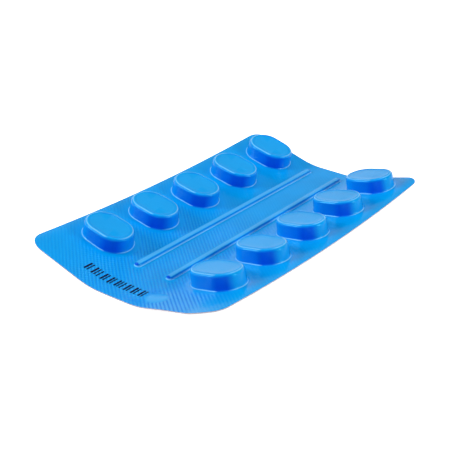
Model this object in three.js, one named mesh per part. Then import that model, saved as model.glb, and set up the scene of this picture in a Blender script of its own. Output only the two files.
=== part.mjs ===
// A strip of ten oblong tablets. One sheet of formed film carries two rows of pockets, a flat foil
// closes it below, and both long sides bend up into a shallow trough.
// Millimetres, +Z up. The strip lies along Y, its longer bare end towards -Y, and the origin is
// under its middle on the surface that it lies on.
import * as THREE from "three";
import { mergeVertices } from "three/addons/utils/BufferGeometryUtils.js";

const DEGREE = Math.PI / 180;

// Pockets: two rows, one on each side of a bare channel
const pocketsInRow = 5;
const pocketPitch = 17; // from pocket to pocket along the strip
const pocketWidth = 10.3; // along the strip, where the wall meets the film
const pocketStraight = 3.5; // the straight stretch between the round ends, across the strip
const pocketHeight = 4; // the flat top above the film
const pocketDraft = 3.2 * DEGREE; // the wall leans in by this much
const topRounding = 0.9;
const baseRounding = 0.5;

// Film and foil together, laid flat
const webThickness = 0.3;
const channelWidth = 21.9; // between the two rows of pockets
const sideMargin = 4; // from a pocket's outer end to the long edge
const nearMargin = 12.3; // from the first pockets to the end that carries the print
const farMargin = 3;
const nearCornerRadius = 7;
const farCornerRadius = 3.5;

// Two stiffening ribs in the channel
const ribSpacing = 10.1; // from rib to rib
const ribWidth = 2.4;
const ribHeight = 0.8;
const ribOverrun = 3.2; // each rib runs this far past the centres of the end pockets

// The bend, at the middle of the strip's length
const wingTilt = 10 * DEGREE; // both rows of pockets lean in by this much
const marginTurn = 10 * DEGREE; // the side margins turn back down by this much
const endGain = 0.55; // every bend is larger at the two ends by this share

// Fineness of the facets
const quarterPoints = 7; // corners of a pocket's outline in each quarter
const sidePoints = 2; // how many of them face the long edges of the pocket's cell
const filletSteps = 3;
const ribSteps = 3; // from a rib's foot to its crest
const edgeSteps = 3; // columns of facets in each side margin
const webStep = 5.5; // longest facet along the strip

// Sizes that follow from the ones above
const pocketLength = pocketWidth + pocketStraight;
const channelHalf = channelWidth / 2;
const rowOffset = channelHalf + pocketLength / 2;
const halfWidth = channelHalf + pocketLength + sideMargin;
const rowSpan = (pocketsInRow - 1) * pocketPitch;
const stripLength = nearMargin + pocketWidth + rowSpan + farMargin;
const halfLength = stripLength / 2;
const rowCentre = (nearMargin - farMargin) / 2;
const ribHalf = ribWidth / 2;
const ribSpineHalf = rowSpan / 2 + ribOverrun - ribHalf;
const floorHalf = ribSpacing / 2 - ribHalf;

// Each pocket lies in a rectangular cell of facets, which ends halfway from the pocket's foot to
// the nearest edge or pocket.
const narrowestRim = Math.min(farMargin, sideMargin, (pocketPitch - pocketWidth) / 2);
const cellClearance = (baseRounding + narrowestRim) / 2;
const cellHalfX = pocketLength / 2 + cellClearance;
const cellHalfY = pocketWidth / 2 + cellClearance;

// The pocket's section as rings of a radius and a height, from the foot of the lower rounding up
function pocketRings() {
  const lean = (Math.PI / 2 - pocketDraft) / 2;
  const baseRadius = pocketWidth / 2;
  const topRadius = baseRadius - pocketHeight * Math.tan(pocketDraft);
  const footRadius = baseRadius + baseRounding * Math.tan(lean);
  const crownRadius = topRadius - topRounding * Math.tan(lean);
  const crownHeight = webThickness + pocketHeight - topRounding;
  const rings = [];
  for (let i = 0; i <= filletSteps; i++) {
    const turn = (Math.PI / 2 - pocketDraft) * (i / filletSteps);
    const z = webThickness + baseRounding * (1 - Math.cos(turn));
    rings.push({ radius: footRadius - baseRounding * Math.sin(turn), z });
  }
  for (let i = 0; i <= filletSteps; i++) {
    const turn = pocketDraft + (Math.PI / 2 - pocketDraft) * (i / filletSteps);
    const z = crownHeight + topRounding * Math.sin(turn);
    rings.push({ radius: crownRadius + topRounding * Math.cos(turn), z });
  }
  return rings;
}

// Directions of an outline's corners from its round end's centre, in one quarter
const quarterStep = Math.PI / 2 / quarterPoints;
const quarterAngles = Array.from({ length: quarterPoints }, (_, i) => (i + 0.5) * quarterStep);

// Four mirrored copies of the points of one quarter, in order round the pocket's centre
function allQuarters(quarter, centreY) {
  const signs = [[1, 1], [-1, 1], [-1, -1], [1, -1]];
  return signs.flatMap(([sx, sy], index) => {
    const points = quarter.map((p) => ({ x: rowOffset + sx * p.x, y: centreY + sy * p.y, z: p.z }));
    return index % 2 ? points.reverse() : points;
  });
}

// An oblong outline: two half circles, drawn apart across the strip by the straight stretch
function oblong(radius, z, centreY) {
  const reach = radius / Math.cos(quarterStep / 2);
  const quarter = quarterAngles.map((angle) => {
    const x = pocketStraight / 2 + reach * Math.cos(angle);
    return { x, y: reach * Math.sin(angle), z };
  });
  return allQuarters(quarter, centreY);
}

// The border of the pocket's cell, with one point for each corner of the outline
function cellBorder(centreY) {
  const reach = pocketWidth / 2 / Math.cos(quarterStep / 2);
  const quarter = quarterAngles.map((angle, i) => {
    const x = i <= sidePoints ? cellHalfX : pocketStraight / 2 + reach * Math.cos(angle);
    const y = i >= sidePoints ? cellHalfY : reach * Math.sin(angle);
    return { x, y, z: webThickness };
  });
  return allQuarters(quarter, centreY);
}

// Facets between two closed outlines with as many points each, the outer one first
function band(outer, inner) {
  return outer.flatMap((a, i) => {
    const next = (i + 1) % outer.length;
    return [[a, outer[next], inner[next]], [a, inner[next], inner[i]]];
  });
}

// Facets from a closed outline to a point inside it
function fan(outline, centre) {
  return outline.map((a, i) => [a, outline[(i + 1) % outline.length], centre]);
}

// Facets between two columns of points that both run along the strip, the left one first
function zip(left, right) {
  const facets = [];
  let i = 0;
  let j = 0;
  while (i < left.length - 1 || j < right.length - 1) {
    const rightDone = j === right.length - 1;
    const leftDone = i === left.length - 1;
    if (rightDone || (!leftDone && left[i + 1].y <= right[j + 1].y)) {
      facets.push([left[i], right[j], left[i + 1]]);
      i += 1;
    } else {
      facets.push([left[i], right[j], right[j + 1]]);
      j += 1;
    }
  }
  return facets;
}

function zipAll(columns) {
  return columns.slice(1).flatMap((column, i) => zip(columns[i], column));
}

// Values from start to end in even steps, both ends counted
function evenly(start, end, steps) {
  return Array.from({ length: steps + 1 }, (_, i) => start + ((end - start) * i) / steps);
}

function stepsFor(length) {
  return Math.max(1, Math.ceil(length / webStep));
}

// How far a rounded corner stands in from the straight end, at a distance x from the middle line
function cornerInset(x, radius) {
  const into = Math.max(0, x - (halfWidth - radius));
  return radius - Math.sqrt(Math.max(0, radius ** 2 - into ** 2));
}

const nearEnd = (x) => -halfLength + cornerInset(x, nearCornerRadius);
const farEnd = (x) => halfLength - cornerInset(x, farCornerRadius);

// A column of points on the bare film, with no two in one place
function filmColumn(x, places, heightAt = () => 0) {
  const apart = places.filter((y, i) => i === 0 || y - places[i - 1] > 1e-6);
  return apart.map((y) => ({ x, y, z: webThickness + heightAt(y) }));
}

function plainColumn(x) {
  const start = -halfLength + nearCornerRadius;
  const end = halfLength - farCornerRadius;
  return filmColumn(x, [nearEnd(x), ...evenly(start, end, stepsFor(end - start)), farEnd(x)]);
}

// A column over a rib, a share of the rib's half width away from its crest: the rib's section is
// round-backed, and its ends are as round as its sides.
function ribColumn(share) {
  const x = ribSpacing / 2 + share * ribHalf;
  const rounds = evenly(0, 1, ribSteps).slice(1).map((step) => ribSpineHalf + step * ribHalf);
  const body = evenly(-ribSpineHalf, ribSpineHalf, stepsFor(2 * ribSpineHalf));
  const places = [...rounds.map((y) => -y).reverse(), ...body, ...rounds].map((y) => y + rowCentre);
  const near = evenly(nearEnd(x), places[0], stepsFor(places[0] - nearEnd(x)));
  const far = evenly(places[places.length - 1], farEnd(x), stepsFor(farEnd(x) - places[places.length - 1]));
  const height = (y) => {
    const past = Math.max(0, Math.abs(y - rowCentre) - ribSpineHalf) / ribHalf;
    return ribHeight * Math.max(0, 1 - Math.hypot(share, past) ** 3);
  };
  return filmColumn(x, [...near, ...places.slice(1, -1), ...far], height);
}

const pocketCentres = evenly(-rowSpan / 2, rowSpan / 2, pocketsInRow - 1).map((y) => y + rowCentre);

// The bare film between, before and behind the cells of one row, as blocks of short columns
function barePlaces(x) {
  const starts = [nearEnd(x), ...pocketCentres.map((y) => y + cellHalfY)];
  const ends = [...pocketCentres.map((y) => y - cellHalfY), farEnd(x)];
  return starts.map((start, i) => {
    const steps = i === 0 ? stepsFor(ends[0] + halfLength) : 1;
    return evenly(start, ends[i], steps);
  });
}

// The whole column along one side of the cells: bare places, and the cells' own side points
function cellSideColumn(side) {
  const x = rowOffset + side * cellHalfX;
  const sides = pocketCentres.map((centreY) => {
    const onSide = cellBorder(centreY).filter((p) => Math.abs(p.x - x) < 1e-9);
    return onSide.map((p) => p.y).sort((a, b) => a - b);
  });
  const places = barePlaces(x).flatMap((bare, i) => [...bare, ...(sides[i] ?? [])]);
  return filmColumn(x, places);
}

// Facets of one row of pockets and the film round them
function rowFacets() {
  const border = cellBorder(pocketCentres[0]);
  const across = border.filter((p) => p.y > pocketCentres[0] + cellHalfY - 1e-9).map((p) => p.x);
  const lines = across.sort((a, b) => a - b);
  const blocks = barePlaces(rowOffset).map((_, i) =>
    zipAll(lines.map((x) => filmColumn(x, barePlaces(x)[i]))),
  );
  return blocks.flat();
}

// Facets of the bare film and the ribs from the middle line to one long edge
function filmFacets() {
  const ribShares = evenly(-1, 1, 2 * ribSteps);
  const inner = cellSideColumn(-1);
  const outer = cellSideColumn(1);
  const shoulder = (ribSpacing / 2 + ribHalf + inner[0].x) / 2;
  const channel = [plainColumn(0), ...ribShares.map(ribColumn), plainColumn(shoulder), inner];
  const marginWidth = halfWidth - outer[0].x;
  const margin = evenly(0, Math.PI / 2, edgeSteps)
    .slice(1)
    .map((turn) => plainColumn(outer[0].x + marginWidth * Math.sin(turn)));
  return [...zipAll(channel), ...rowFacets(), ...zipAll([outer, ...margin])];
}

// The facets of one pocket, seen from above
function pocketFacets(centreY) {
  const rings = pocketRings();
  const outlines = [cellBorder(centreY), ...rings.map(({ radius, z }) => oblong(radius, z, centreY))];
  const top = outlines[outlines.length - 1];
  const walls = outlines.slice(1).flatMap((outline, i) => band(outlines[i], outline));
  return [...walls, ...fan(top, { x: rowOffset, y: centreY, z: top[0].z })];
}

const flat = (p) => ({ x: p.x, y: p.y, z: 0 });
const mirrored = (facets) => facets.map(([a, b, c]) => [c, b, a].map((p) => ({ x: -p.x, y: p.y, z: p.z })));

// The thin wall that joins the upper face's outer edges to the lower face
function edgeWall(upper) {
  const key = (p) => `${p.x.toFixed(4)} ${p.y.toFixed(4)}`.replaceAll("-0.0000", "0.0000");
  const edges = upper.flatMap(([a, b, c]) => [[a, b], [b, c], [c, a]]);
  const known = new Set(edges.map(([a, b]) => `${key(a)} ${key(b)}`));
  const open = edges.filter(([a, b]) => !known.has(`${key(b)} ${key(a)}`));
  return open.flatMap(([a, b]) => [[flat(a), flat(b), b], [flat(a), b, a]]);
}

// The curve of the web across the strip, from the middle outwards: stretches of even curvature
function bendStretches(gain) {
  const wingStart = channelHalf - baseRounding;
  const wingEnd = channelHalf + pocketLength + baseRounding;
  return [
    { length: floorHalf, turn: 0 },
    { length: wingStart - floorHalf, turn: gain * wingTilt },
    { length: wingEnd - wingStart, turn: 0 },
    { length: halfWidth - wingEnd, turn: -gain * marginTurn },
  ];
}

// Where the distance along that curve ends, and how far the web has turned there
function bendAt(distance, gain) {
  let x = 0;
  let z = 0;
  let angle = 0;
  let left = distance;
  for (const { length, turn } of bendStretches(gain)) {
    const run = Math.min(left, length);
    const turned = (turn * run) / length;
    const half = turned / 2;
    const chord = Math.abs(half) < 1e-9 ? run : (run * Math.sin(half)) / half;
    x += chord * Math.cos(angle + half);
    z += chord * Math.sin(angle + half);
    angle += turned;
    left -= run;
  }
  return { x, z, angle };
}

// A point of the flat strip, moved to its place on the bent one
function bent({ x, y, z }) {
  const place = bendAt(Math.abs(x), 1 + endGain * (y / halfLength) ** 2);
  const across = place.x - z * Math.sin(place.angle);
  return [Math.sign(x) * across, y, place.z + z * Math.cos(place.angle)];
}

function stripGeometry() {
  const film = filmFacets();
  const half = [...film, ...pocketCentres.flatMap(pocketFacets)];
  const upper = [...half, ...mirrored(half)];
  const seats = pocketCentres.flatMap((y) => fan(cellBorder(y), { x: rowOffset, y, z: 0 }));
  const underHalf = [...film, ...seats];
  const lower = [...underHalf, ...mirrored(underHalf)].map(([a, b, c]) => [c, b, a].map(flat));
  const facets = [...upper, ...lower, ...edgeWall(upper)];
  const geometry = new THREE.BufferGeometry();
  geometry.setAttribute("position", new THREE.Float32BufferAttribute(facets.flat().flatMap(bent), 3));
  const closed = mergeVertices(geometry, 1e-4);
  closed.computeVertexNormals();
  return closed;
}

const blueFilm = new THREE.MeshStandardMaterial({ color: 0x1f8fe6, roughness: 0.25, metalness: 0 });

const strip = new THREE.Mesh(stripGeometry(), blueFilm);
strip.name = "blister_strip";

const part = new THREE.Group();
part.add(strip);
export default part;
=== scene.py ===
"""A strip of tablets, dressed: blue formed film, the foil under it, its print marks and a pale stage."""
from math import atan2, cos, exp, hypot, pi, radians, sin, tan
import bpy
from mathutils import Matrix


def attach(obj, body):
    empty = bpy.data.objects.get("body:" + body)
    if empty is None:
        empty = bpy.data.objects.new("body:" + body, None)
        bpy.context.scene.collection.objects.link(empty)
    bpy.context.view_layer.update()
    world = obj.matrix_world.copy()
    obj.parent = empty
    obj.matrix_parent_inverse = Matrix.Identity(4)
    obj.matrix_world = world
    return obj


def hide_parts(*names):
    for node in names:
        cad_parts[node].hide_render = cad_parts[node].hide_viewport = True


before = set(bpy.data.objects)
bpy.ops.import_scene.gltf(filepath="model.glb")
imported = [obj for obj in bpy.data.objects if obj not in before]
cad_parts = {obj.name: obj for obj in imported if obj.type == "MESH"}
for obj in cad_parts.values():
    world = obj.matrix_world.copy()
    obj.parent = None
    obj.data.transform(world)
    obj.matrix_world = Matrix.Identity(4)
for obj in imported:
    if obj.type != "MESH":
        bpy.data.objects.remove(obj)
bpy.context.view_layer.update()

from types import SimpleNamespace

import bmesh
import bpy
from bpy.props import FloatProperty, FloatVectorProperty, IntProperty, PointerProperty
from mathutils import Matrix, Vector

bl_info = {
    "name": "Strip of Tablets",
    "version": (1, 0, 0),
    "blender": (4, 5, 0),
    "location": "View3D > Sidebar > Tablets",
    "description": "Makes a push-through strip of tablets: film, foil, print marks and a stage",
    "category": "Add Mesh",
}

MM = 0.001
MERGE = 1e-6
EDGE_TRIM = 0.002 * MM
UP = Vector((0, 0, 1))
STRIP_NODE = "blister_strip"

# Edges of the finished pieces that bend more than this are shaded sharp.
SHARP_ANGLE = radians(40)

# How little a side wall's normal rises.
UPRIGHT = 0.02

# Steps of the rounded parts, from edge to edge of each.
CORNER_STEPS = 10
POCKET_END_STEPS = 36
FOOT_STEPS = 6
WALL_STEPS = 3
CROWN_STEPS = 10
DISH_STEPS = 4
RIB_END_STEPS = 10
RIB_LENGTH_STEP = 3 * MM
RIB_FOOT_STEPS = 3

# How square a rib's section is: 2 would be a plain arch. The section's places are shares of its half width.
RIB_SHAPE = 7.0
RIB_SECTION = (1.0, 0.97, 0.93, 0.88, 0.82, 0.74, 0.64, 0.5, 0.3, 0.0)

# The slope inside a pocket's rim, across.
DISH_WIDTH = 0.55 * MM

# Plain film kept round a rib's foot, how far past a form's film the web is cut away, and how far
# past that the ring reaches that is filled again.
RIB_APRON = 0.1 * MM
POCKET_CUT = 0.1 * MM
RIB_CUT = 0.2 * MM
RING_REACH = 1.2 * MM

# Distances over which the knurl grows: from a pocket's foot, from a rib's foot, and from the middle
# of the pressed spot in shares of its reach.
BY_POCKET_RANGE = (0.5 * MM, 1.4 * MM)
BY_RIB_RANGE = (0.3 * MM, 0.9 * MM)
BY_SPOT_RANGE = (0.85, 1.1)

# Where painted highlight lines run round the pocket's foot and rim, as angles from the film and from the
# wall.
FOOT_HIGHLIGHT_ANGLE, FOOT_HIGHLIGHT_REACH = radians(43), radians(18)
RIM_HIGHLIGHT_ANGLE, RIM_HIGHLIGHT_REACH = radians(62), radians(13)

# How deep the knurl is pressed at the strip's left, as a share, and where it grows to its full depth.
LEFT_KNURL = 0.4
LEFT_RANGE = (-21 * MM, -8 * MM)

# How deep it is pressed at the far end, and where along the strip it fades to that.
FAR_KNURL = 0.12
FAR_RANGE = (-6 * MM, 13 * MM)

# How deep it is pressed over the right row and at the right edge, and where across the strip
# it fades to that.
RIGHT_KNURL = 0.2
ROW_RANGE = (9 * MM, 15 * MM)
EDGE_RANGE = (20 * MM, 24 * MM)

# Where the bare end stops, and how much more painted highlight the knurl's ridges and painted shade its
# valleys get at its right.
BARE_END_RANGE = (-38 * MM, -33 * MM)
NEAR_RIGHT_HIGHLIGHT = 0.26
NEAR_RIGHT_SHADE = 0.25
NEAR_RIGHT_RANGE = (7 * MM, 12 * MM)

# How much painted shade (a dark line) a rib's side gets, and where, as a share of the rib's half width.
RIB_SIDE_SHADE = 0.8
RIB_SIDE_PLACE, RIB_SIDE_REACH = 0.83, 0.08

# Where across a rib the painted highlight on its top stops, and where and how strong the painted highlight
# line on its foot is.
RIB_TOP_RANGE = (0.45, 0.7)
RIB_FOOT_RANGE = (0.92, 0.97)
RIB_FOOT_HIGHLIGHT = 0.8

# Where painted shade covers a rib's end, as angles from its side, and where from its middle to its foot it
# lies.
RIB_END_SHADE = (radians(35), radians(60))
RIB_END_INNER = (0.1, 0.4)
RIB_END_OUTER = (0.78, 0.84)

# Where a pocket's shaded corner reaches its full painted shade, as angles from the straight side.
CORNER_START = (radians(0), radians(20))

# Where the corner's painted highlight lines are gone, as a share of the way to full painted shade.
CORNER_HIGHLIGHT_RANGE = (0.5, 1.0)

# Where the corner's painted shade lets go again at the outer end and at the end beside the channel.
OUTER_CORNER_END = (radians(47), radians(68))
INNER_CORNER_END = (radians(50), radians(84))

# Where a pocket's other two corners reach their painted shade, and where they leave it for the end's share.
PLAIN_CORNER_START = (radians(0), radians(25))
PLAIN_CORNER_END = (radians(55), radians(82))

# How much more painted shade the straight walls of the left row get.
LEFT_ROW_SHADE = 0.06

# How much painted shade the top of a pocket's wall gets, as a share of its foot's.
WALL_TOP_SHADE = 0.9

# Low swellings of the bare end: middle, reach along both axes, and height.
PRESSED_SPOT = SimpleNamespace(
    x=9.7 * MM, y=-41.7 * MM, reach_x=3.1 * MM, reach_y=2.5 * MM, height=0.3 * MM,
)
EDGE_WAVE = SimpleNamespace(
    x=5.0 * MM, y=-46.8 * MM, reach_x=5.5 * MM, reach_y=2.2 * MM, height=0.2 * MM,
)
SIDE_WAVE = SimpleNamespace(
    x=16.0 * MM, y=-47.0 * MM, reach_x=5.0 * MM, reach_y=2.5 * MM, height=0.15 * MM,
)
SWELLINGS = (PRESSED_SPOT, EDGE_WAVE, SIDE_WAVE)

# How strong the painted highlight on the pressed spot is, and where it stops, in its reaches.
PRESSED_HIGHLIGHT = 0.14
PRESSED_HIGHLIGHT_RANGE = (0.7, 1.05)

# Spots beside the swellings with painted shade: middle, reach, and how much shade there.
SHADED_SPOTS = (
    SimpleNamespace(x=6.4 * MM, y=-39.2 * MM, reach_x=1.6 * MM, reach_y=1.3 * MM, height=0.38),
    SimpleNamespace(x=4.9 * MM, y=-44.9 * MM, reach_x=3.2 * MM, reach_y=0.9 * MM, height=0.28),
)

# The foil's dimples as a share of the knurl's depth, the height that they stay under, and the gap
# between foil and film.
DIMPLE_SHARE = 0.35
DIMPLE_TOP = 0.04 * MM
FOIL_GAP = 0.002 * MM

# The row of marks: how many bars each group has, where the row starts, and a bar's sizes.
MARK_GROUPS = (2, 3, 2, 2, 3, 2, 2, 2)
MARK_PITCH = 0.88 * MM
MARKS_LEFT, MARKS_FOOT = -12.9 * MM, -42.75 * MM
MARK_HEIGHT = 2.8 * MM
MARK_NARROW, MARK_WIDE = 0.32 * MM, 0.5 * MM
MARK_THICKNESS = 0.012 * MM
MARK_ROUNDING = 0.1 * MM
MARK_ROUNDING_STEPS = 3

# The lights' places and the side of each, in metres. All are turned to the origin.
OVERHEAD_PLACE, OVERHEAD_SIDE = (-0.02, 0.06, 0.5), 0.4
LEFT_PLACE, LEFT_SIDE = (-0.29, -0.32, 0.25), 0.2
RIGHT_PLACE, RIGHT_SIDE = (0.46, 0.1, 0.18), 0.2

# How high a direction points where the mirrored surround starts to fade and where it has faded.
FADE_LOW, FADE_HIGH = 0.05, 0.5

# The floor's glow as glossy pieces mirror it, and as the camera sees it.
MIRRORED_GLOW = 0.15
SEEN_GLOW = 0.74

# The floor's half side and how far it lies under the strip, in metres.
FLOOR_HALF = 1.5
FLOOR_DROP = 0.0002

# The point that the camera looks at.
CAMERA_AIM = Vector((-2.338, -1.668, 0.305)) * MM


def length(name, description, millimetres):
    """A length that a user may change, written here in millimetres."""
    return FloatProperty(
        name=name, description=description, default=millimetres * MM,
        min=0.0, precision=5, subtype="DISTANCE", unit="LENGTH",
    )


def turn(name, description, degrees):
    """An angle that a user may change, written here in degrees."""
    return FloatProperty(
        name=name, description=description, default=radians(degrees),
        precision=3, subtype="ANGLE", unit="ROTATION",
    )


def colour(name, description, red, green, blue):
    """A colour that a user may change, in linear light."""
    return FloatVectorProperty(
        name=name, description=description, default=(red, green, blue),
        size=3, min=0.0, max=1.0, subtype="COLOR",
    )


def plain(name, description, value):
    """A number without a unit that a user may change."""
    return FloatProperty(name=name, description=description, default=value, min=0.0)


class StripSizes(bpy.types.PropertyGroup):
    """Sizes of the strip, measured on the flat film before it is bent."""
    pockets_in_row: IntProperty(
        name="Pockets in a Row", description="Pockets along each of the two rows", default=5, min=1, max=8,
    )
    pocket_pitch: length("Pocket Pitch", "From one pocket to the next along the strip", 17)
    pocket_width: length("Pocket Width", "Pocket across its straight sides, at the film", 10.3)
    pocket_straight: length("Pocket Straight", "Straight side between the pocket's round ends", 3.5)
    pocket_height: length("Pocket Height", "Top of a pocket above the film", 3.97)
    pocket_draft: turn("Pocket Draft", "Lean of the pocket's walls", 3.2)
    top_rounding: length("Top Rounding", "Rounding between a pocket's wall and its top", 0.9)
    base_rounding: length("Foot Rounding", "Rounding between a pocket's wall and the film", 0.5)
    top_dish: length("Top Dish", "How far a pocket's flat top lies under its rim", 0.09)
    # Painted shade: a dark line on the slope inside a pocket's rim.
    rim_slope_shade: plain("Slope Share", "How drawn the slope inside a pocket's rim is", 0.45)
    # Painted highlight along a rib's top.
    rib_highlight: plain("Rib Paleness", "How pale the film is strained along a rib's top", 0.28)
    # Painted shade in the knurl's valleys.
    valley_shade: plain("Valley Share", "How drawn the film is between the knurl's leading ridges", 0.32)
    # Painted highlight along the knurl's ridges.
    ridge_highlight: plain("Ridge Paleness", "How pale the film is strained along those ridges", 0.05)
    # Painted highlight over a pocket's top.
    pocket_top_highlight: plain("Top Paleness", "How pale the film is strained over a pocket's top", 0.04)
    pocket_apron: length("Pocket Apron", "Plain film kept round each pocket's foot", 0.3)
    # Painted shade on the pocket walls: along the straight sides, at the plain corners and at both ends.
    straight_least_shade: plain("Straight Least", "How drawn a straight wall is at its less drawn end", 0.53)
    straight_most_shade: plain("Straight Most", "How drawn a straight wall is where the drawn corner starts", 0.7)
    plain_corner_shade: plain("Plain Corner", "How drawn the walls are at a pocket's two other corners", 0.3)
    outer_end_shade: plain("Outer Share", "How drawn the walls are at a pocket's outer end", 0.07)
    inner_end_shade: plain("Inner Share", "How drawn the walls are at a pocket's end beside the channel", 0.34)
    web_thickness: length("Web Thickness", "Film and foil together", 0.3)
    foil_thickness: length("Foil Thickness", "Foil with its sealing lacquer", 0.05)
    channel_width: length("Channel Width", "Bare channel between the two rows", 21.9)
    side_margin: length("Side Margin", "Film beside each row", 4)
    near_margin: length("Near Margin", "Bare end that carries the marks", 12.3)
    far_margin: length("Far Margin", "Film past the last pockets", 3)
    near_left_corner: length("Near Left Corner", "Corner radius at the bare end's left", 5.4)
    near_right_corner: length("Near Right Corner", "Corner radius at the bare end's right", 6.8)
    far_corner: length("Far Corner", "Corner radius at the other end", 3.5)
    rib_spacing: length("Rib Spacing", "From the middle of one rib to the other", 10.1)
    rib_width: length("Rib Width", "Rib at the film", 2.4)
    rib_height: length("Rib Height", "Rib above the film", 0.8)
    rib_foot: length("Rib Foot", "Rounding between a rib's side and the film", 0.16)
    rib_overrun: length("Rib Overrun", "Rib past the middles of the end pockets", 3.8)
    wing_tilt: turn("Wing Tilt", "Lean of both rows towards each other", 10)
    margin_turn: turn("Margin Turn", "How far the side margins turn back down", 10)
    end_gain: plain("End Gain", "How much more the strip is bent at its ends", 0.55)
    knurl_pitch: length("Knurl Pitch", "From ridge to ridge of the crossed knurl", 0.83)
    knurl_lean: turn("Knurl Lean", "Lean of the ridges' normals from the strip's width", 48.4)
    knurl_depth: length("Knurl Depth", "Deepest point of the knurl under its peaks", 0.1)
    knurl_lead: plain("Knurl Lead", "Share of the knurl's depth in the leading one of its two ridges", 0.65)


class StripColours(bpy.types.PropertyGroup):
    """Colours of the strip."""
    film: colour("Film", "Blue film over the bright foil", 0.0, 0.352, 0.86)
    # Painted shade colour: deep blue laid on pocket walls, darkest at two of their corners, on rib sides and
    # ends, and in knurl valleys.
    drawn_film: colour("Painted Shade Film", "Film where it is drawn out at the pockets' corners", 0.0, 0.085, 0.74)
    # Painted highlight colour: pale lines along pocket rims and feet, rib tops and feet, knurl ridges, pocket
    # tops and the pressed spot.
    painted_highlight_film: colour("Pale Film", "Film strained pale along rims and feet", 0.22, 0.62, 1.0)
    film_gloss: colour("Film Gloss", "Tint of the film's gloss", 0.13, 0.75, 1.0)
    cut_edge: colour("Cut Edge", "Pale cut edge of film and foil", 0.62, 0.55, 0.58)
    foil: colour("Foil", "Bare foil underneath", 0.8, 0.81, 0.83)
    ink: colour("Ink", "Printed marks", 0.003, 0.004, 0.025)


class StageSettings(bpy.types.PropertyGroup):
    """The camera, the lights and the floor."""
    azimuth: turn("Azimuth", "Camera round the strip, from the bare end towards its right", 37.58)
    elevation: turn("Elevation", "Camera above the floor", 26.4)
    roll: turn("Roll", "Camera turned about its own view", 0.8726)
    distance: length("Distance", "From the camera to the point it looks at", 251.8)
    focal_length: plain("Focal Length", "In millimetres, on a sensor 36 mm wide", 77.19)
    overhead: plain("Overhead Light", "Power of the large soft light above, in watts", 1.0)
    left_light: plain("Left Light", "Power of the soft light at the front left, in watts", 1.5)
    right_light: plain("Right Light", "Power of the soft light at the right, in watts", 1.1)
    surround: plain("Surround", "Strength of the plain light from all round", 0.28)
    high_gloss: plain("High Gloss", "Strength of the surround high up, as glossy surfaces mirror it", 0.22)
    floor: colour("Floor", "Plain pale floor", 0.8, 0.8, 0.8)


def strip_layout(sizes):
    """The places that follow from the sizes, on the flat strip."""
    row_span = (sizes.pockets_in_row - 1) * sizes.pocket_pitch
    row_centre = (sizes.near_margin - sizes.far_margin) / 2
    half_length = (row_span + sizes.pocket_width + sizes.near_margin + sizes.far_margin) / 2
    channel_half = sizes.channel_width / 2
    pocket_length = sizes.pocket_width + sizes.pocket_straight
    row_offset = channel_half + pocket_length / 2
    lean = (pi / 2 - sizes.pocket_draft) / 2
    base_radius = sizes.pocket_width / 2
    top_radius = base_radius - sizes.pocket_height * tan(sizes.pocket_draft)
    rib_half = sizes.rib_width / 2
    rows = [row_centre - row_span / 2 + index * sizes.pocket_pitch for index in range(sizes.pockets_in_row)]
    return SimpleNamespace(
        half_length=half_length,
        half_width=channel_half + pocket_length + sizes.side_margin,
        wing_start=channel_half - sizes.base_rounding,
        wing_end=channel_half + pocket_length + sizes.base_rounding,
        floor_half=sizes.rib_spacing / 2 - rib_half,
        pockets=[Vector((side * row_offset, place, 0)) for side in (-1, 1) for place in rows],
        pocket_half=sizes.pocket_straight / 2,
        foot_radius=base_radius + sizes.base_rounding * tan(lean),
        crown_radius=top_radius - sizes.top_rounding * tan(lean),
        ribs=[Vector((side * sizes.rib_spacing / 2, row_centre, 0)) for side in (-1, 1)],
        rib_half=rib_half,
        rib_spine_half=row_span / 2 + sizes.rib_overrun - rib_half,
    )


def from_spot(point, spot):
    """Distance from a spot's middle, as a share of its reach."""
    return hypot((point.x - spot.x) / spot.reach_x, (point.y - spot.y) / spot.reach_y)


def bell(point, spot):
    """The height of one low swelling here, or the painted shade of a shaded spot."""
    return spot.height * exp(-from_spot(point, spot) ** 2)


def bent(point, sizes, layout):
    """Where a point of the flat strip lies once the strip is bent into its shallow trough."""
    gain = 1 + sizes.end_gain * (point.y / layout.half_length) ** 2
    stretches = (
        (layout.floor_half, 0.0),
        (layout.wing_start - layout.floor_half, gain * sizes.wing_tilt),
        (layout.wing_end - layout.wing_start, 0.0),
        (layout.half_width - layout.wing_end, -gain * sizes.margin_turn),
    )
    across = rise = angle = 0.0
    left = abs(point.x)
    for stretch, whole_turn in stretches:
        run = min(left, stretch)
        turned = whole_turn * run / stretch
        half = turned / 2
        chord = run * sin(half) / half if abs(half) > 1e-9 else run
        across += chord * cos(angle + half)
        rise += chord * sin(angle + half)
        angle += turned
        left -= run
    side = 1 if point.x >= 0 else -1
    height = point.z + sum(bell(point, spot) for spot in SWELLINGS)
    return Vector((
        side * (across - height * sin(angle)),
        point.y,
        rise + height * cos(angle),
    ))


def bend_mesh(bm, sizes, layout):
    """Bends everything in the mesh with the strip."""
    for vert in bm.verts:
        vert.co = bent(vert.co, sizes, layout)


def from_pocket(point, centre, layout):
    """Distance from the foot of one pocket, negative under it."""
    past = max(abs(point.x - centre.x) - layout.pocket_half, 0.0)
    return hypot(past, point.y - centre.y) - layout.foot_radius


def from_rib(point, centre, layout):
    """Distance from the foot of one rib, negative under it."""
    past = max(abs(point.y - centre.y) - layout.rib_spine_half, 0.0)
    return hypot(point.x - centre.x, past) - layout.rib_half


def from_pockets(point, layout):
    """Distance from the foot of the nearest pocket."""
    return min(from_pocket(point, centre, layout) for centre in layout.pockets)


def from_ribs(point, layout):
    """Distance from the foot of the nearest rib."""
    return min(from_rib(point, centre, layout) for centre in layout.ribs)


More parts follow.
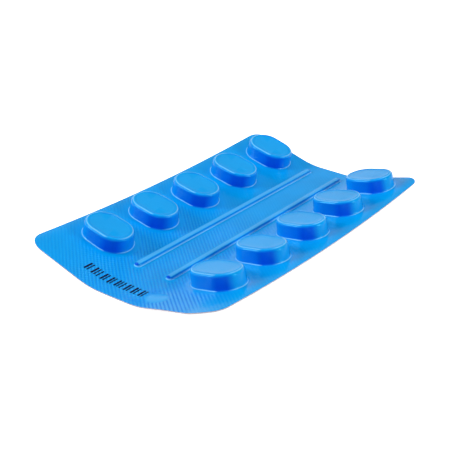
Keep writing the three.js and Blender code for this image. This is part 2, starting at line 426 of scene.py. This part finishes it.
def eased(value, start, end):
    """0 before start, 1 past end, and an even rise between."""
    return min(max((value - start) / (end - start), 0.0), 1.0)


def peak(value, middle, reach):
    """1 at the middle, falling evenly to 0 at its reach on both sides."""
    return max(1 - abs(value - middle) / reach, 0.0)


def ridges(phase):
    """A wave of straight slopes, 1 at whole numbers and -1 half way between."""
    return 1 - 4 * abs(phase - round(phase))


def past_bare_end(point):
    """0 on the strip's bare end, 1 among the pockets."""
    return eased(point.y, *BARE_END_RANGE)


def knurl_share(point, layout):
    """1 where the web is fully knurled, 0 beside pockets and ribs and on the pressed spot."""
    by_pockets = eased(from_pockets(point, layout), *BY_POCKET_RANGE)
    by_ribs = eased(from_ribs(point, layout), *BY_RIB_RANGE)
    by_spot = eased(from_spot(point, PRESSED_SPOT), *BY_SPOT_RANGE)
    left = LEFT_KNURL + (1 - LEFT_KNURL) * eased(point.x, *LEFT_RANGE)
    far = 1 - (1 - FAR_KNURL) * eased(point.y, *FAR_RANGE)
    over_row = eased(point.x, *ROW_RANGE) * past_bare_end(point)
    right = 1 - (1 - RIGHT_KNURL) * max(over_row, eased(point.x, *EDGE_RANGE))
    return left * far * right * min(by_pockets, by_ribs, by_spot)


def knurl_waves(point, sizes):
    """The leading and the other ridge of the crossed knurl here, each from -1 to 1."""
    along_x = point.x * cos(sizes.knurl_lean) / sizes.knurl_pitch
    along_y = point.y * sin(sizes.knurl_lean) / sizes.knurl_pitch
    return ridges(along_x + along_y), ridges(along_x - along_y)


def knurl_drop(point, sizes, layout):
    """How far the crossed knurl lies under its peaks here."""
    leading, other = knurl_waves(point, sizes)
    crossed = sizes.knurl_lead * leading + (1 - sizes.knurl_lead) * other
    return sizes.knurl_depth * (1 - crossed) / 2 * knurl_share(point, layout)


def outline_sheet(sizes, layout):
    """The strip's flat outline as one face at the floor, its bare end rounder than the other."""
    bm = bmesh.new()
    width, reach = layout.half_width - EDGE_TRIM, layout.half_length - EDGE_TRIM
    places = ((-width, -reach), (width, -reach), (width, reach), (-width, reach))
    corners = [bm.verts.new((x, y, 0)) for x, y in places]
    bm.faces.new(corners)
    radii = (sizes.near_left_corner, sizes.near_right_corner, sizes.far_corner, sizes.far_corner)
    for corner, radius in zip(corners, radii):
        bmesh.ops.bevel(
            bm, geom=[corner], offset=radius, offset_type="OFFSET", segments=CORNER_STEPS,
            profile=0.5, affect="VERTICES", material=-1,
        )
    return bm


def cut_in_bands(bm, normal, spacing):
    """Cuts the mesh with even parallel planes, square to the normal."""
    reach = max(abs(vert.co.dot(normal)) for vert in bm.verts)
    count = int(reach / spacing)
    for index in range(-count, count + 1):
        bmesh.ops.bisect_plane(
            bm, geom=bm.verts[:] + bm.edges[:] + bm.faces[:], dist=MERGE,
            plane_co=normal * (spacing * index), plane_no=normal,
        )


def knurled_slab(sizes, layout, bottom, top):
    """A flat slab with the strip's outline, both faces cut along the knurl's ridges and valleys."""
    bm = outline_sheet(sizes, layout)
    for side in (-1, 1):
        normal = Vector((cos(sizes.knurl_lean), side * sin(sizes.knurl_lean), 0))
        cut_in_bands(bm, normal, sizes.knurl_pitch / 2)
    made = bmesh.ops.extrude_face_region(bm, geom=bm.faces[:])
    raised = [item for item in made["geom"] if isinstance(item, bmesh.types.BMVert)]
    bmesh.ops.translate(bm, vec=UP * (top - bottom), verts=raised)
    bmesh.ops.translate(bm, vec=UP * bottom, verts=bm.verts[:])
    bmesh.ops.recalc_face_normals(bm, faces=bm.faces[:])
    return bm


def pressed_form(profile, half_straight, straight_steps, end_steps):
    """Half of an oblong form along X: its section spun round the end and drawn along the straight side."""
    bm = bmesh.new()
    # Each vertex carries its painted shade and painted highlight.
    drawn = bm.verts.layers.float.new("drawn")
    painted_highlight = bm.verts.layers.float.new("painted_highlight")
    chain = []
    for radius, height, drawn_share, highlight_share in profile:
        vert = bm.verts.new((0, -radius, height))
        vert[drawn] = drawn_share
        vert[painted_highlight] = highlight_share
        chain.append(vert)
    links = [bm.edges.new(pair) for pair in zip(chain, chain[1:])]
    bmesh.ops.spin(
        bm, geom=chain + links, cent=(0, 0, 0), axis=UP, dvec=(0, 0, 0),
        angle=pi, steps=end_steps, use_merge=False, use_duplicate=False,
    )
    bmesh.ops.remove_doubles(bm, verts=bm.verts[:], dist=MERGE)
    bmesh.ops.translate(bm, vec=(half_straight, 0, 0), verts=bm.verts[:])
    seam = [
        edge for edge in bm.edges
        if edge.is_boundary and all(abs(vert.co.x - half_straight) < MERGE for vert in edge.verts)
    ]
    for _ in range(straight_steps):
        made = bmesh.ops.extrude_edge_only(bm, edges=seam)
        fresh = [item for item in made["geom"] if isinstance(item, bmesh.types.BMVert)]
        seam = [item for item in made["geom"] if isinstance(item, bmesh.types.BMEdge)]
        bmesh.ops.translate(bm, vec=(-half_straight / straight_steps, 0, 0), verts=fresh)
    return bm


def between(first, second, share):
    """The value at a share of the way from one value to another."""
    return first + (second - first) * share


def paint_corner_shade(bm, sizes, layout, outward):
    """Paints shade round a pocket's walls: full at two opposite corners, less on the straight sides, at the
    other corners and at the ends; the painted highlight lines fade at the fully shaded corners.
    """
    drawn = bm.verts.layers.float["drawn"]
    painted_highlight = bm.verts.layers.float["painted_highlight"]
    row_shade = LEFT_ROW_SHADE if outward < 0 else 0.0
    for vert in bm.verts:
        past = abs(vert.co.x) - layout.pocket_half
        angle = atan2(max(past, 0.0), abs(vert.co.y))
        outer = vert.co.x * outward > 0
        end_shade = sizes.outer_end_shade if outer else sizes.inner_end_shade
        to_drawn = -vert.co.x if vert.co.y > 0 else vert.co.x
        along = eased(to_drawn, -layout.pocket_half, layout.pocket_half)
        straight = between(sizes.straight_least_shade, sizes.straight_most_shade, along) + row_shade
        if to_drawn > 0:
            at_corner = eased(angle, *CORNER_START)
            corner = between(straight, 1.0, at_corner)
            to_end = eased(angle, *(OUTER_CORNER_END if outer else INNER_CORNER_END))
            vert[painted_highlight] *= 1 - eased(at_corner, *CORNER_HIGHLIGHT_RANGE) * (1 - to_end)
        else:
            corner = between(straight, sizes.plain_corner_shade, eased(angle, *PLAIN_CORNER_START))
            to_end = eased(angle, *PLAIN_CORNER_END)
        vert[drawn] *= between(corner, end_shade, to_end)


def paint_rib_end_shade(bm, layout):
    """Paints shade over both ends of a rib, apart from the line round its foot, and takes the painted
    highlight away there.
    """
    drawn = bm.verts.layers.float["drawn"]
    painted_highlight = bm.verts.layers.float["painted_highlight"]
    for vert in bm.verts:
        past = max(abs(vert.co.x) - layout.rib_spine_half, 0.0)
        away = hypot(past, vert.co.y) / layout.rib_half
        at_end = eased(atan2(past, abs(vert.co.y)), *RIB_END_SHADE)
        at_end *= eased(away, *RIB_END_INNER) * (1 - eased(away, *RIB_END_OUTER))
        vert[drawn] += (1 - vert[drawn]) * at_end
        vert[painted_highlight] *= 1 - at_end


def mirror_form(bm):
    """Adds the other half of a raised form."""
    bmesh.ops.mirror(bm, geom=bm.verts[:] + bm.edges[:] + bm.faces[:], axis="X", merge_dist=MERGE)
    bmesh.ops.recalc_face_normals(bm, faces=bm.faces[:])
    if sum(face.normal.z for face in bm.faces) < 0:
        bmesh.ops.reverse_faces(bm, faces=bm.faces[:])


def place_form(bm, centre, turned):
    """Turns a raised form and sets it in its place."""
    bmesh.ops.rotate(bm, cent=(0, 0, 0), matrix=Matrix.Rotation(turned, 3, "Z"), verts=bm.verts[:])
    bmesh.ops.translate(bm, vec=centre, verts=bm.verts[:])


def pocket_profile(sizes, layout):
    """A pocket's section, film to middle: radius, height, painted shade and painted highlight."""
    web = sizes.web_thickness
    rim_height = web + sizes.pocket_height - sizes.top_rounding
    profile = [(layout.foot_radius + sizes.pocket_apron, web, 0.0, 0.0)]
    steep = pi / 2 - sizes.pocket_draft
    for step in range(FOOT_STEPS + 1):
        angle = steep * step / FOOT_STEPS
        radius = layout.foot_radius - sizes.base_rounding * sin(angle)
        height = web + sizes.base_rounding * (1 - cos(angle))
        # Painted shade grows up the foot; a painted highlight line runs along it.
        profile.append((radius, height, sin(angle), peak(angle, FOOT_HIGHLIGHT_ANGLE, FOOT_HIGHLIGHT_REACH)))
    foot_end = profile[-1]
    crown = []
    for step in range(CROWN_STEPS + 1):
        angle = sizes.pocket_draft + steep * step / CROWN_STEPS
        radius = layout.crown_radius + sizes.top_rounding * cos(angle)
        height = rim_height + sizes.top_rounding * sin(angle)
        # Painted shade fades over the rim, which carries a painted highlight line.
        drawn_share = WALL_TOP_SHADE * cos(angle) ** 3
        crown.append((radius, height, drawn_share, peak(angle, RIM_HIGHLIGHT_ANGLE, RIM_HIGHLIGHT_REACH)))
    for step in range(1, WALL_STEPS):
        share = step / WALL_STEPS
        radius = foot_end[0] + (crown[0][0] - foot_end[0]) * share
        height = foot_end[1] + (crown[0][1] - foot_end[1]) * share
        profile.append((radius, height, between(1.0, WALL_TOP_SHADE, share), 0.0))
    profile += crown
    top = web + sizes.pocket_height
    for step in range(1, DISH_STEPS + 1):
        share = step / DISH_STEPS
        radius = layout.crown_radius - DISH_WIDTH * share
        drop = sizes.top_dish * share * share * (3 - 2 * share)
        # A line of painted shade on the slope inside the rim, and a painted highlight over the top.
        slope_drawn = sizes.rim_slope_shade * (1 - abs(2 * share - 1))
        profile.append((radius, top - drop, slope_drawn, sizes.pocket_top_highlight * share))
    profile.append((layout.crown_radius / 2, top - sizes.top_dish, 0.0, sizes.pocket_top_highlight))
    profile.append((0.0, top - sizes.top_dish, 0.0, sizes.pocket_top_highlight))
    return profile


def rib_profile(sizes, layout):
    """A rib's section from the film to its middle: a rounded foot, a steep side and a broad top, with painted
    shade on the side and painted highlights on the top and foot.
    """
    web = sizes.web_thickness
    profile = [(layout.rib_half + RIB_APRON, web, 0.0, 0.0)]
    side_start = layout.rib_half - sizes.rib_foot
    for step in range(RIB_FOOT_STEPS):
        share = step / RIB_FOOT_STEPS
        height = web + sizes.rib_foot * share ** 2 / 2
        profile.append((layout.rib_half - sizes.rib_foot * share, height, 0.0, RIB_FOOT_HIGHLIGHT * share))
    side_foot = sizes.rib_foot / 2
    for share in RIB_SECTION:
        rise = (sizes.rib_height - side_foot) * (1 - share ** RIB_SHAPE)
        # Painted shade on the side, painted highlight on the top and along the foot.
        side_drawn = RIB_SIDE_SHADE * peak(share, RIB_SIDE_PLACE, RIB_SIDE_REACH)
        top_highlight = sizes.rib_highlight * (1 - eased(share, *RIB_TOP_RANGE))
        foot_highlight = RIB_FOOT_HIGHLIGHT * eased(share, *RIB_FOOT_RANGE)
        profile.append((side_start * share, web + side_foot + rise, side_drawn, top_highlight + foot_highlight))
    return profile


def cut_hole(bm, top, distance, clearance):
    """Takes out the upper face's cells that a raised form will cover."""
    covered = [
        face for face in bm.faces
        if all(vert.co.z > top for vert in face.verts)
        and any(distance(vert.co) < clearance for vert in face.verts)
    ]
    bmesh.ops.delete(bm, geom=covered, context="FACES")


def press_knurl(bm, sizes, layout):
    """Presses the knurl into the slab's upper face and paints shade in its valleys and highlights on its
    ridges, painted shade at the shaded spots and a painted highlight on the pressed spot.
    """
    bm.verts.layers.float.new("drawn")
    bm.verts.layers.float.new("painted_highlight")
    drawn = bm.verts.layers.float["drawn"]
    painted_highlight = bm.verts.layers.float["painted_highlight"]
    for vert in bm.verts:
        if abs(vert.co.z - sizes.web_thickness) > MERGE:
            continue
        leading = knurl_waves(vert.co, sizes)[0]
        knurled_here = knurl_share(vert.co, layout)
        # Painted shade in the knurl's valleys and painted highlight on its ridges, more of both at the bare
        # end's right.
        near_right = eased(vert.co.x, *NEAR_RIGHT_RANGE) * (1 - past_bare_end(vert.co))
        valley_shade = sizes.valley_shade + NEAR_RIGHT_SHADE * near_right
        valley_shade_here = valley_shade * (1 - leading) / 2 * knurled_here
        ridge_highlight = sizes.ridge_highlight + NEAR_RIGHT_HIGHLIGHT * near_right
        ridge_highlight_here = ridge_highlight * (1 + leading) / 2 * knurled_here
        # Painted highlight on the pressed spot and painted shade at the shaded spots.
        on_highlight_spot = 1 - eased(from_spot(vert.co, PRESSED_SPOT), *PRESSED_HIGHLIGHT_RANGE)
        vert[drawn] = max(valley_shade_here, *(bell(vert.co, spot) for spot in SHADED_SPOTS))
        vert[painted_highlight] = max(ridge_highlight_here, PRESSED_HIGHLIGHT * on_highlight_spot)
        vert.co.z -= knurl_drop(vert.co, sizes, layout)


def add_pocket(bm, centre, sizes, layout):
    """Adds one pocket to the film, in the hole that waits for it."""
    form = pressed_form(pocket_profile(sizes, layout), layout.pocket_half, 2, POCKET_END_STEPS)
    mirror_form(form)
    paint_corner_shade(form, sizes, layout, centre.x)
    place_form(form, centre, 0.0)
    join_form(bm, form)
    reach = sizes.pocket_apron + POCKET_CUT + RING_REACH
    close_gap(bm, lambda place: from_pocket(place, centre, layout), reach)


def add_rib(bm, centre, sizes, layout):
    """Adds one rib to the film, in the hole that waits for it."""
    length_steps = round(layout.rib_spine_half / RIB_LENGTH_STEP)
    form = pressed_form(rib_profile(sizes, layout), layout.rib_spine_half, length_steps, RIB_END_STEPS)
    mirror_form(form)
    paint_rib_end_shade(form, layout)
    place_form(form, centre, pi / 2)
    join_form(bm, form)
    close_gap(bm, lambda place: from_rib(place, centre, layout), RIB_CUT + RING_REACH)


def join_form(bm, form):
    """Adds a raised form to the film's mesh."""
    kept = bpy.data.meshes.new("form")
    form.to_mesh(kept)
    form.free()
    bm.from_mesh(kept)
    bpy.data.meshes.remove(kept)


def close_gap(bm, distance, reach):
    """Fills the plain film between a hole's ragged border and the foot of the form in it."""
    border = [
        edge for edge in bm.edges
        if edge.is_boundary and all(distance(vert.co) < reach for vert in edge.verts)
    ]
    bmesh.ops.triangle_fill(bm, edges=border, use_beauty=True, use_dissolve=False, normal=UP)


def soften(bm, knurled):
    """Shades the mesh smooth, apart from the knurl's facets and from edges that are truly sharp."""
    for face in bm.faces:
        face.smooth = not face[knurled]
    for edge in bm.edges:
        if len(edge.link_faces) == 2 and edge.calc_face_angle(0.0) > SHARP_ANGLE:
            edge.smooth = False


def finished_piece(name, bm, materials):
    """Makes the mesh an object that rides on the strip."""
    mesh = bpy.data.meshes.new(name)
    bm.to_mesh(mesh)
    bm.free()
    for material in materials:
        mesh.materials.append(material)
    piece = bpy.data.objects.new(name, mesh)
    bpy.context.scene.collection.objects.link(piece)
    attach(piece, "root")
    return piece


class NodeDesk:
    """Short ways to add and join shader nodes in one material."""

    def __init__(self, name):
        self.material = bpy.data.materials.new(name)
        self.material.use_nodes = True
        self.tree = self.material.node_tree
        self.shader = self.tree.nodes["Principled BSDF"]
        self.coordinates = self.add("ShaderNodeTexCoord").outputs["Object"]

    def add(self, kind, **values):
        """Adds a node, sets its plain fields, and returns it."""
        node = self.tree.nodes.new(kind)
        for key, value in values.items():
            setattr(node, key, value)
        return node

    def join(self, source, target):
        """Links one socket to another."""
        self.tree.links.new(source, target)

    def noise(self, scale, detail, stretch=(1, 1, 1)):
        """Noise with its grain in cells per metre, stretched along the object's axes."""
        mapping = self.add("ShaderNodeMapping")
        mapping.inputs["Scale"].default_value = stretch
        self.join(self.coordinates, mapping.inputs["Vector"])
        node = self.add("ShaderNodeTexNoise")
        node.inputs["Scale"].default_value = scale
        node.inputs["Detail"].default_value = detail
        self.join(mapping.outputs["Vector"], node.inputs["Vector"])
        return node.outputs["Fac"]

    def ranged(self, value, low, high, from_low=0.3, from_high=0.7):
        """Moves a value's middle range to another range."""
        node = self.add("ShaderNodeMapRange")
        node.inputs["From Min"].default_value = from_low
        node.inputs["From Max"].default_value = from_high
        node.inputs["To Min"].default_value = low
        node.inputs["To Max"].default_value = high
        self.join(value, node.inputs["Value"])
        return node.outputs["Result"]

    def mixed(self, share, first, second):
        """Mixes two colours, each a socket or a plain colour."""
        node = self.add("ShaderNodeMix", data_type="RGBA")
        self.join(share, node.inputs[0])
        for value, socket in ((first, node.inputs[6]), (second, node.inputs[7])):
            if isinstance(value, bpy.types.NodeSocket):
                self.join(value, socket)
            else:
                socket.default_value = (*value, 1.0)
        return node.outputs[2]

    def bump(self, height, depth, base=None):
        """A bump of the given depth in metres, over another bump if there is one."""
        node = self.add("ShaderNodeBump")
        node.inputs["Strength"].default_value = 1.0
        node.inputs["Distance"].default_value = depth
        self.join(height, node.inputs["Height"])
        if base is not None:
            self.join(base, node.inputs["Normal"])
        return node.outputs["Normal"]


def shaded(colour_value, factor):
    """The colour, lighter or darker by a factor."""
    return tuple(min(1.0, channel * factor) for channel in colour_value)


def film_material(colours):
    """Glossy blue film with random cloudy tone, deep blue painted shade and pale painted highlights from the
    mesh's attributes, and faint forming marks.
    """
    desk = NodeDesk("formed film")
    # Painted shade: the film turns deep blue where the shade attribute is high.
    drawn = desk.add("ShaderNodeAttribute", attribute_name="drawn").outputs["Fac"]
    clouds = desk.ranged(desk.noise(90, 3), 0.0, 1.0)
    lying = desk.mixed(clouds, shaded(colours.film, 0.96), shaded(colours.film, 1.04))
    drawn_out = desk.mixed(clouds, shaded(colours.drawn_film, 0.92), shaded(colours.drawn_film, 1.06))
    with_painted_shade = desk.mixed(drawn, lying, drawn_out)
    # Painted highlight: the film turns pale where the highlight attribute is high.
    painted_highlight = desk.add("ShaderNodeAttribute", attribute_name="painted_highlight").outputs["Fac"]
    desk.join(desk.mixed(painted_highlight, with_painted_shade, colours.painted_highlight_film), desk.shader.inputs["Base Color"])
    gloss = desk.ranged(desk.noise(700, 2), 0.13, 0.2)
    desk.join(gloss, desk.shader.inputs["Roughness"])
    desk.shader.inputs["IOR"].default_value = 1.41
    desk.shader.inputs["Specular Tint"].default_value = (*colours.film_gloss, 1.0)
    swell = desk.bump(desk.noise(160, 1), 0.012 * MM)
    grain = desk.bump(desk.noise(3600, 2), 0.0008 * MM, swell)
    desk.join(grain, desk.shader.inputs["Normal"])
    return desk.material


def cut_edge_material(colours):
    """The pale, slightly rough edge left by the punch."""
    desk = NodeDesk("cut edge")
    streaks = desk.ranged(desk.noise(1800, 2), 0.0, 1.0)
    tone = desk.mixed(streaks, shaded(colours.cut_edge, 0.85), shaded(colours.cut_edge, 1.1))
    desk.join(tone, desk.shader.inputs["Base Color"])
    desk.shader.inputs["Roughness"].default_value = 0.45
    desk.join(desk.bump(desk.noise(4000, 2), 0.004 * MM), desk.shader.inputs["Normal"])
    return desk.material


def foil_material(colours):
    """Bare rolled foil: satin metal with faint rolling lines along the strip."""
    desk = NodeDesk("lidding foil")
    clouds = desk.ranged(desk.noise(120, 3), 0.0, 1.0)
    tone = desk.mixed(clouds, shaded(colours.foil, 0.94), shaded(colours.foil, 1.05))
    desk.join(tone, desk.shader.inputs["Base Color"])
    desk.shader.inputs["Metallic"].default_value = 1.0
    lines = desk.noise(1500, 2, stretch=(6, 0.15, 1))
    desk.join(desk.ranged(lines, 0.26, 0.42), desk.shader.inputs["Roughness"])
    desk.join(desk.bump(lines, 0.0015 * MM), desk.shader.inputs["Normal"])
    return desk.material


def ink_material(colours):
    """Jet-printed ink: matt black, a little uneven."""
    desk = NodeDesk("ink")
    specks = desk.ranged(desk.noise(2600, 2), 0.0, 1.0)
    tone = desk.mixed(specks, colours.ink, shaded(colours.ink, 2.5))
    desk.join(tone, desk.shader.inputs["Base Color"])
    desk.join(desk.ranged(desk.noise(3000, 2), 0.6, 0.75), desk.shader.inputs["Roughness"])
    desk.shader.inputs["Specular IOR Level"].default_value = 0.05
    desk.join(desk.bump(desk.noise(4000, 2), 0.003 * MM), desk.shader.inputs["Normal"])
    return desk.material


class TABLETS_OT_formed_film(bpy.types.Operator):
    """Make the blue film with its pockets, ribs and knurled web"""
    bl_idname = "tablets.formed_film"
    bl_label = "Formed Film"

    def execute(self, context):
        sizes = context.scene.strip_sizes
        colours = context.scene.strip_colours
        layout = strip_layout(sizes)
        top = sizes.web_thickness
        bm = knurled_slab(sizes, layout, sizes.foil_thickness, top)
        press_knurl(bm, sizes, layout)
        deepest = sizes.knurl_depth + MERGE
        knurled = bm.faces.layers.int.new("knurled")
        for face in bm.faces:
            face[knurled] = any(MERGE < top - vert.co.z < deepest for vert in face.verts)
        pocket_cut = sizes.pocket_apron + POCKET_CUT
        cut_hole(bm, top - deepest, lambda place: from_pockets(place, layout), pocket_cut)
        cut_hole(bm, top - deepest, lambda place: from_ribs(place, layout), RIB_CUT)
        for centre in layout.pockets:
            add_pocket(bm, centre, sizes, layout)
        for centre in layout.ribs:
            add_rib(bm, centre, sizes, layout)
        bmesh.ops.recalc_face_normals(bm, faces=bm.faces[:])
        for face in bm.faces:
            at_edge = abs(face.normal.z) < UPRIGHT and face.calc_center_median().z < top
            face.material_index = 1 if at_edge else 0
        bend_mesh(bm, sizes, layout)
        soften(bm, knurled)
        materials = [film_material(colours), cut_edge_material(colours)]
        piece = finished_piece("formed_film", bm, materials)
        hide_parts(STRIP_NODE)
        return {"FINISHED"}


class TABLETS_OT_lidding_foil(bpy.types.Operator):
    """Make the thin foil under the film, with the knurl's dimples on its outer face"""
    bl_idname = "tablets.lidding_foil"
    bl_label = "Lidding Foil"

    def execute(self, context):
        sizes = context.scene.strip_sizes
        colours = context.scene.strip_colours
        layout = strip_layout(sizes)
        bm = knurled_slab(sizes, layout, 0.0, sizes.foil_thickness - FOIL_GAP)
        for vert in bm.verts:
            if abs(vert.co.z) < MERGE:
                vert.co.z += DIMPLE_SHARE * knurl_drop(vert.co, sizes, layout)
        knurled = bm.faces.layers.int.new("knurled")
        for face in bm.faces:
            face[knurled] = any(MERGE < vert.co.z < DIMPLE_TOP for vert in face.verts)
        bend_mesh(bm, sizes, layout)
        soften(bm, knurled)
        finished_piece("lidding_foil", bm, [foil_material(colours)])
        return {"FINISHED"}


class TABLETS_OT_print_marks(bpy.types.Operator):
    """Make the row of plain marks on the bare end"""
    bl_idname = "tablets.print_marks"
    bl_label = "Print Marks"

    def execute(self, context):
        sizes = context.scene.strip_sizes
        colours = context.scene.strip_colours
        layout = strip_layout(sizes)
        bm = bmesh.new()
        left = MARKS_LEFT
        for count in MARK_GROUPS:
            for index in range(count):
                width = MARK_WIDE if index == 0 else MARK_NARROW
                add_bar(bm, left, width, sizes.web_thickness)
                left += MARK_PITCH
            left += MARK_PITCH / 2
        bend_mesh(bm, sizes, layout)
        bmesh.ops.recalc_face_normals(bm, faces=bm.faces[:])
        finished_piece("print_marks", bm, [ink_material(colours)])
        return {"FINISHED"}


def add_bar(bm, left, width, film_top):
    """One short bar of ink lying on the film."""
    place = Vector((left + width / 2, MARKS_FOOT + MARK_HEIGHT / 2, film_top + MARK_THICKNESS / 2))
    size = Matrix.Diagonal((width, MARK_HEIGHT, MARK_THICKNESS, 1))
    made = bmesh.ops.create_cube(bm, size=1.0, matrix=Matrix.Translation(place) @ size)
    upright = {
        edge for vert in made["verts"] for edge in vert.link_edges
        if abs(edge.verts[0].co.z - edge.verts[1].co.z) > MERGE
    }
    bmesh.ops.bevel(
        bm, geom=list(upright), offset=MARK_ROUNDING, offset_type="OFFSET", segments=MARK_ROUNDING_STEPS,
        profile=0.5, affect="EDGES", material=-1,
    )


class TABLETS_OT_stage(bpy.types.Operator):
    """Make the floor, the lights and the camera"""
    bl_idname = "tablets.stage"
    bl_label = "Stage"

    def execute(self, context):
        settings = context.scene.strip_stage
        scene = context.scene
        scene.view_settings.view_transform = "Standard"
        make_surround(scene, settings)
        make_floor(scene, settings)
        soft_light(scene, "overhead light", settings.overhead, OVERHEAD_SIDE, OVERHEAD_PLACE)
        soft_light(scene, "left light", settings.left_light, LEFT_SIDE, LEFT_PLACE)
        soft_light(scene, "right light", settings.right_light, RIGHT_SIDE, RIGHT_PLACE)
        make_camera(scene, settings)
        return {"FINISHED"}


def by_kind_of_ray(tree, plain_value, mirrored, seen):
    """A value for glossy rays, one for camera and transmission rays, and a plain one for others."""
    path = tree.nodes.new("ShaderNodeLightPath")
    result = plain_value
    kinds = (("Is Glossy Ray", mirrored), ("Is Transmission Ray", seen), ("Is Camera Ray", seen))
    for kind, value in kinds:
        choice = tree.nodes.new("ShaderNodeMix")
        tree.links.new(path.outputs[kind], choice.inputs[0])
        for given, socket in ((result, choice.inputs[2]), (value, choice.inputs[3])):
            if isinstance(given, bpy.types.NodeSocket):
                tree.links.new(given, socket)
            else:
                socket.default_value = given
        result = choice.outputs[0]
    return result


def make_surround(scene, settings):
    """White behind the object, and an even soft light from all round."""
    world = bpy.data.worlds.new("surround")
    world.use_nodes = True
    tree = world.node_tree
    background = tree.nodes["Background"]
    background.inputs["Color"].default_value = (1, 1, 1, 1)
    direction = tree.nodes.new("ShaderNodeTexCoord")
    height = tree.nodes.new("ShaderNodeSeparateXYZ")
    tree.links.new(direction.outputs["Generated"], height.inputs[0])
    mirrored = tree.nodes.new("ShaderNodeMapRange")
    mirrored.inputs["From Min"].default_value = FADE_LOW
    mirrored.inputs["From Max"].default_value = FADE_HIGH
    mirrored.inputs["To Min"].default_value = 1.0
    mirrored.inputs["To Max"].default_value = settings.high_gloss
    tree.links.new(height.outputs["Z"], mirrored.inputs["Value"])
    strength = by_kind_of_ray(tree, settings.surround, mirrored.outputs["Result"], 1.0)
    tree.links.new(strength, background.inputs["Strength"])
    scene.world = world


def make_floor(scene, settings):
    """A plain pale floor that shows white to the camera and keeps a faint shadow."""
    bm = bmesh.new()
    bmesh.ops.create_grid(bm, x_segments=1, y_segments=1, size=FLOOR_HALF)
    bmesh.ops.translate(bm, vec=(0, 0, -FLOOR_DROP), verts=bm.verts[:])
    mesh = bpy.data.meshes.new("floor")
    bm.to_mesh(mesh)
    bm.free()
    material = bpy.data.materials.new("floor")
    material.use_nodes = True
    tree = material.node_tree
    shader = tree.nodes["Principled BSDF"]
    shader.inputs["Base Color"].default_value = (*settings.floor, 1)
    shader.inputs["Roughness"].default_value = 0.9
    shader.inputs["Specular IOR Level"].default_value = 0.0
    shader.inputs["Emission Color"].default_value = (1, 1, 1, 1)
    glow = by_kind_of_ray(tree, 0.0, MIRRORED_GLOW, SEEN_GLOW)
    tree.links.new(glow, shader.inputs["Emission Strength"])
    mesh.materials.append(material)
    floor = bpy.data.objects.new("floor", mesh)
    scene.collection.objects.link(floor)


def soft_light(scene, name, power, side, place):
    """A square soft light at a place, turned to the origin."""
    lamp = bpy.data.lights.new(name, "AREA")
    lamp.shape = "SQUARE"
    lamp.size = side
    lamp.energy = power
    light = bpy.data.objects.new(name, lamp)
    light.location = place
    light.rotation_euler = (-Vector(place)).to_track_quat("-Z", "Y").to_euler()
    scene.collection.objects.link(light)


def make_camera(scene, settings):
    """The camera, at the photograph's viewing angle."""
    back = Vector((
        sin(settings.azimuth) * cos(settings.elevation),
        -cos(settings.azimuth) * cos(settings.elevation),
        sin(settings.elevation),
    ))
    lens = bpy.data.cameras.new("camera")
    lens.sensor_width = 36.0
    lens.lens = settings.focal_length
    lens.clip_start = 0.01
    camera = bpy.data.objects.new("camera", lens)
    level = (-back).to_track_quat("-Z", "Y").to_matrix().to_4x4()
    place = Matrix.Translation(CAMERA_AIM + back * settings.distance)
    camera.matrix_world = place @ level @ Matrix.Rotation(settings.roll, 4, "Z")
    scene.collection.objects.link(camera)
    scene.camera = camera


class TABLETS_PT_strip(bpy.types.Panel):
    """Lists the strip's pieces and its stage"""
    bl_label = "Strip of Tablets"
    bl_idname = "TABLETS_PT_strip"
    bl_space_type = "VIEW_3D"
    bl_region_type = "UI"
    bl_category = "Tablets"

    def draw(self, context):
        column = self.layout.column()
        for operator in OPERATORS:
            column.operator(operator.bl_idname)
        for group in (context.scene.strip_sizes, context.scene.strip_colours, context.scene.strip_stage):
            box = self.layout.box()
            for name in group.__annotations__:
                box.prop(group, name)


OPERATORS = (
    TABLETS_OT_formed_film,
    TABLETS_OT_lidding_foil,
    TABLETS_OT_print_marks,
    TABLETS_OT_stage,
)
GROUPS = {
    "strip_sizes": StripSizes,
    "strip_colours": StripColours,
    "strip_stage": StageSettings,
}


def register():
    for kind in (*GROUPS.values(), *OPERATORS, TABLETS_PT_strip):
        bpy.utils.register_class(kind)
    for name, kind in GROUPS.items():
        setattr(bpy.types.Scene, name, PointerProperty(type=kind))


def unregister():
    for name in GROUPS:
        delattr(bpy.types.Scene, name)
    for kind in (TABLETS_PT_strip, *reversed(OPERATORS), *reversed(list(GROUPS.values()))):
        bpy.utils.unregister_class(kind)


def main():
    """Makes every piece and the stage."""
    register()
    bpy.ops.tablets.formed_film()
    bpy.ops.tablets.lidding_foil()
    bpy.ops.tablets.print_marks()
    bpy.ops.tablets.stage()


if __name__ == "__main__":
    main()
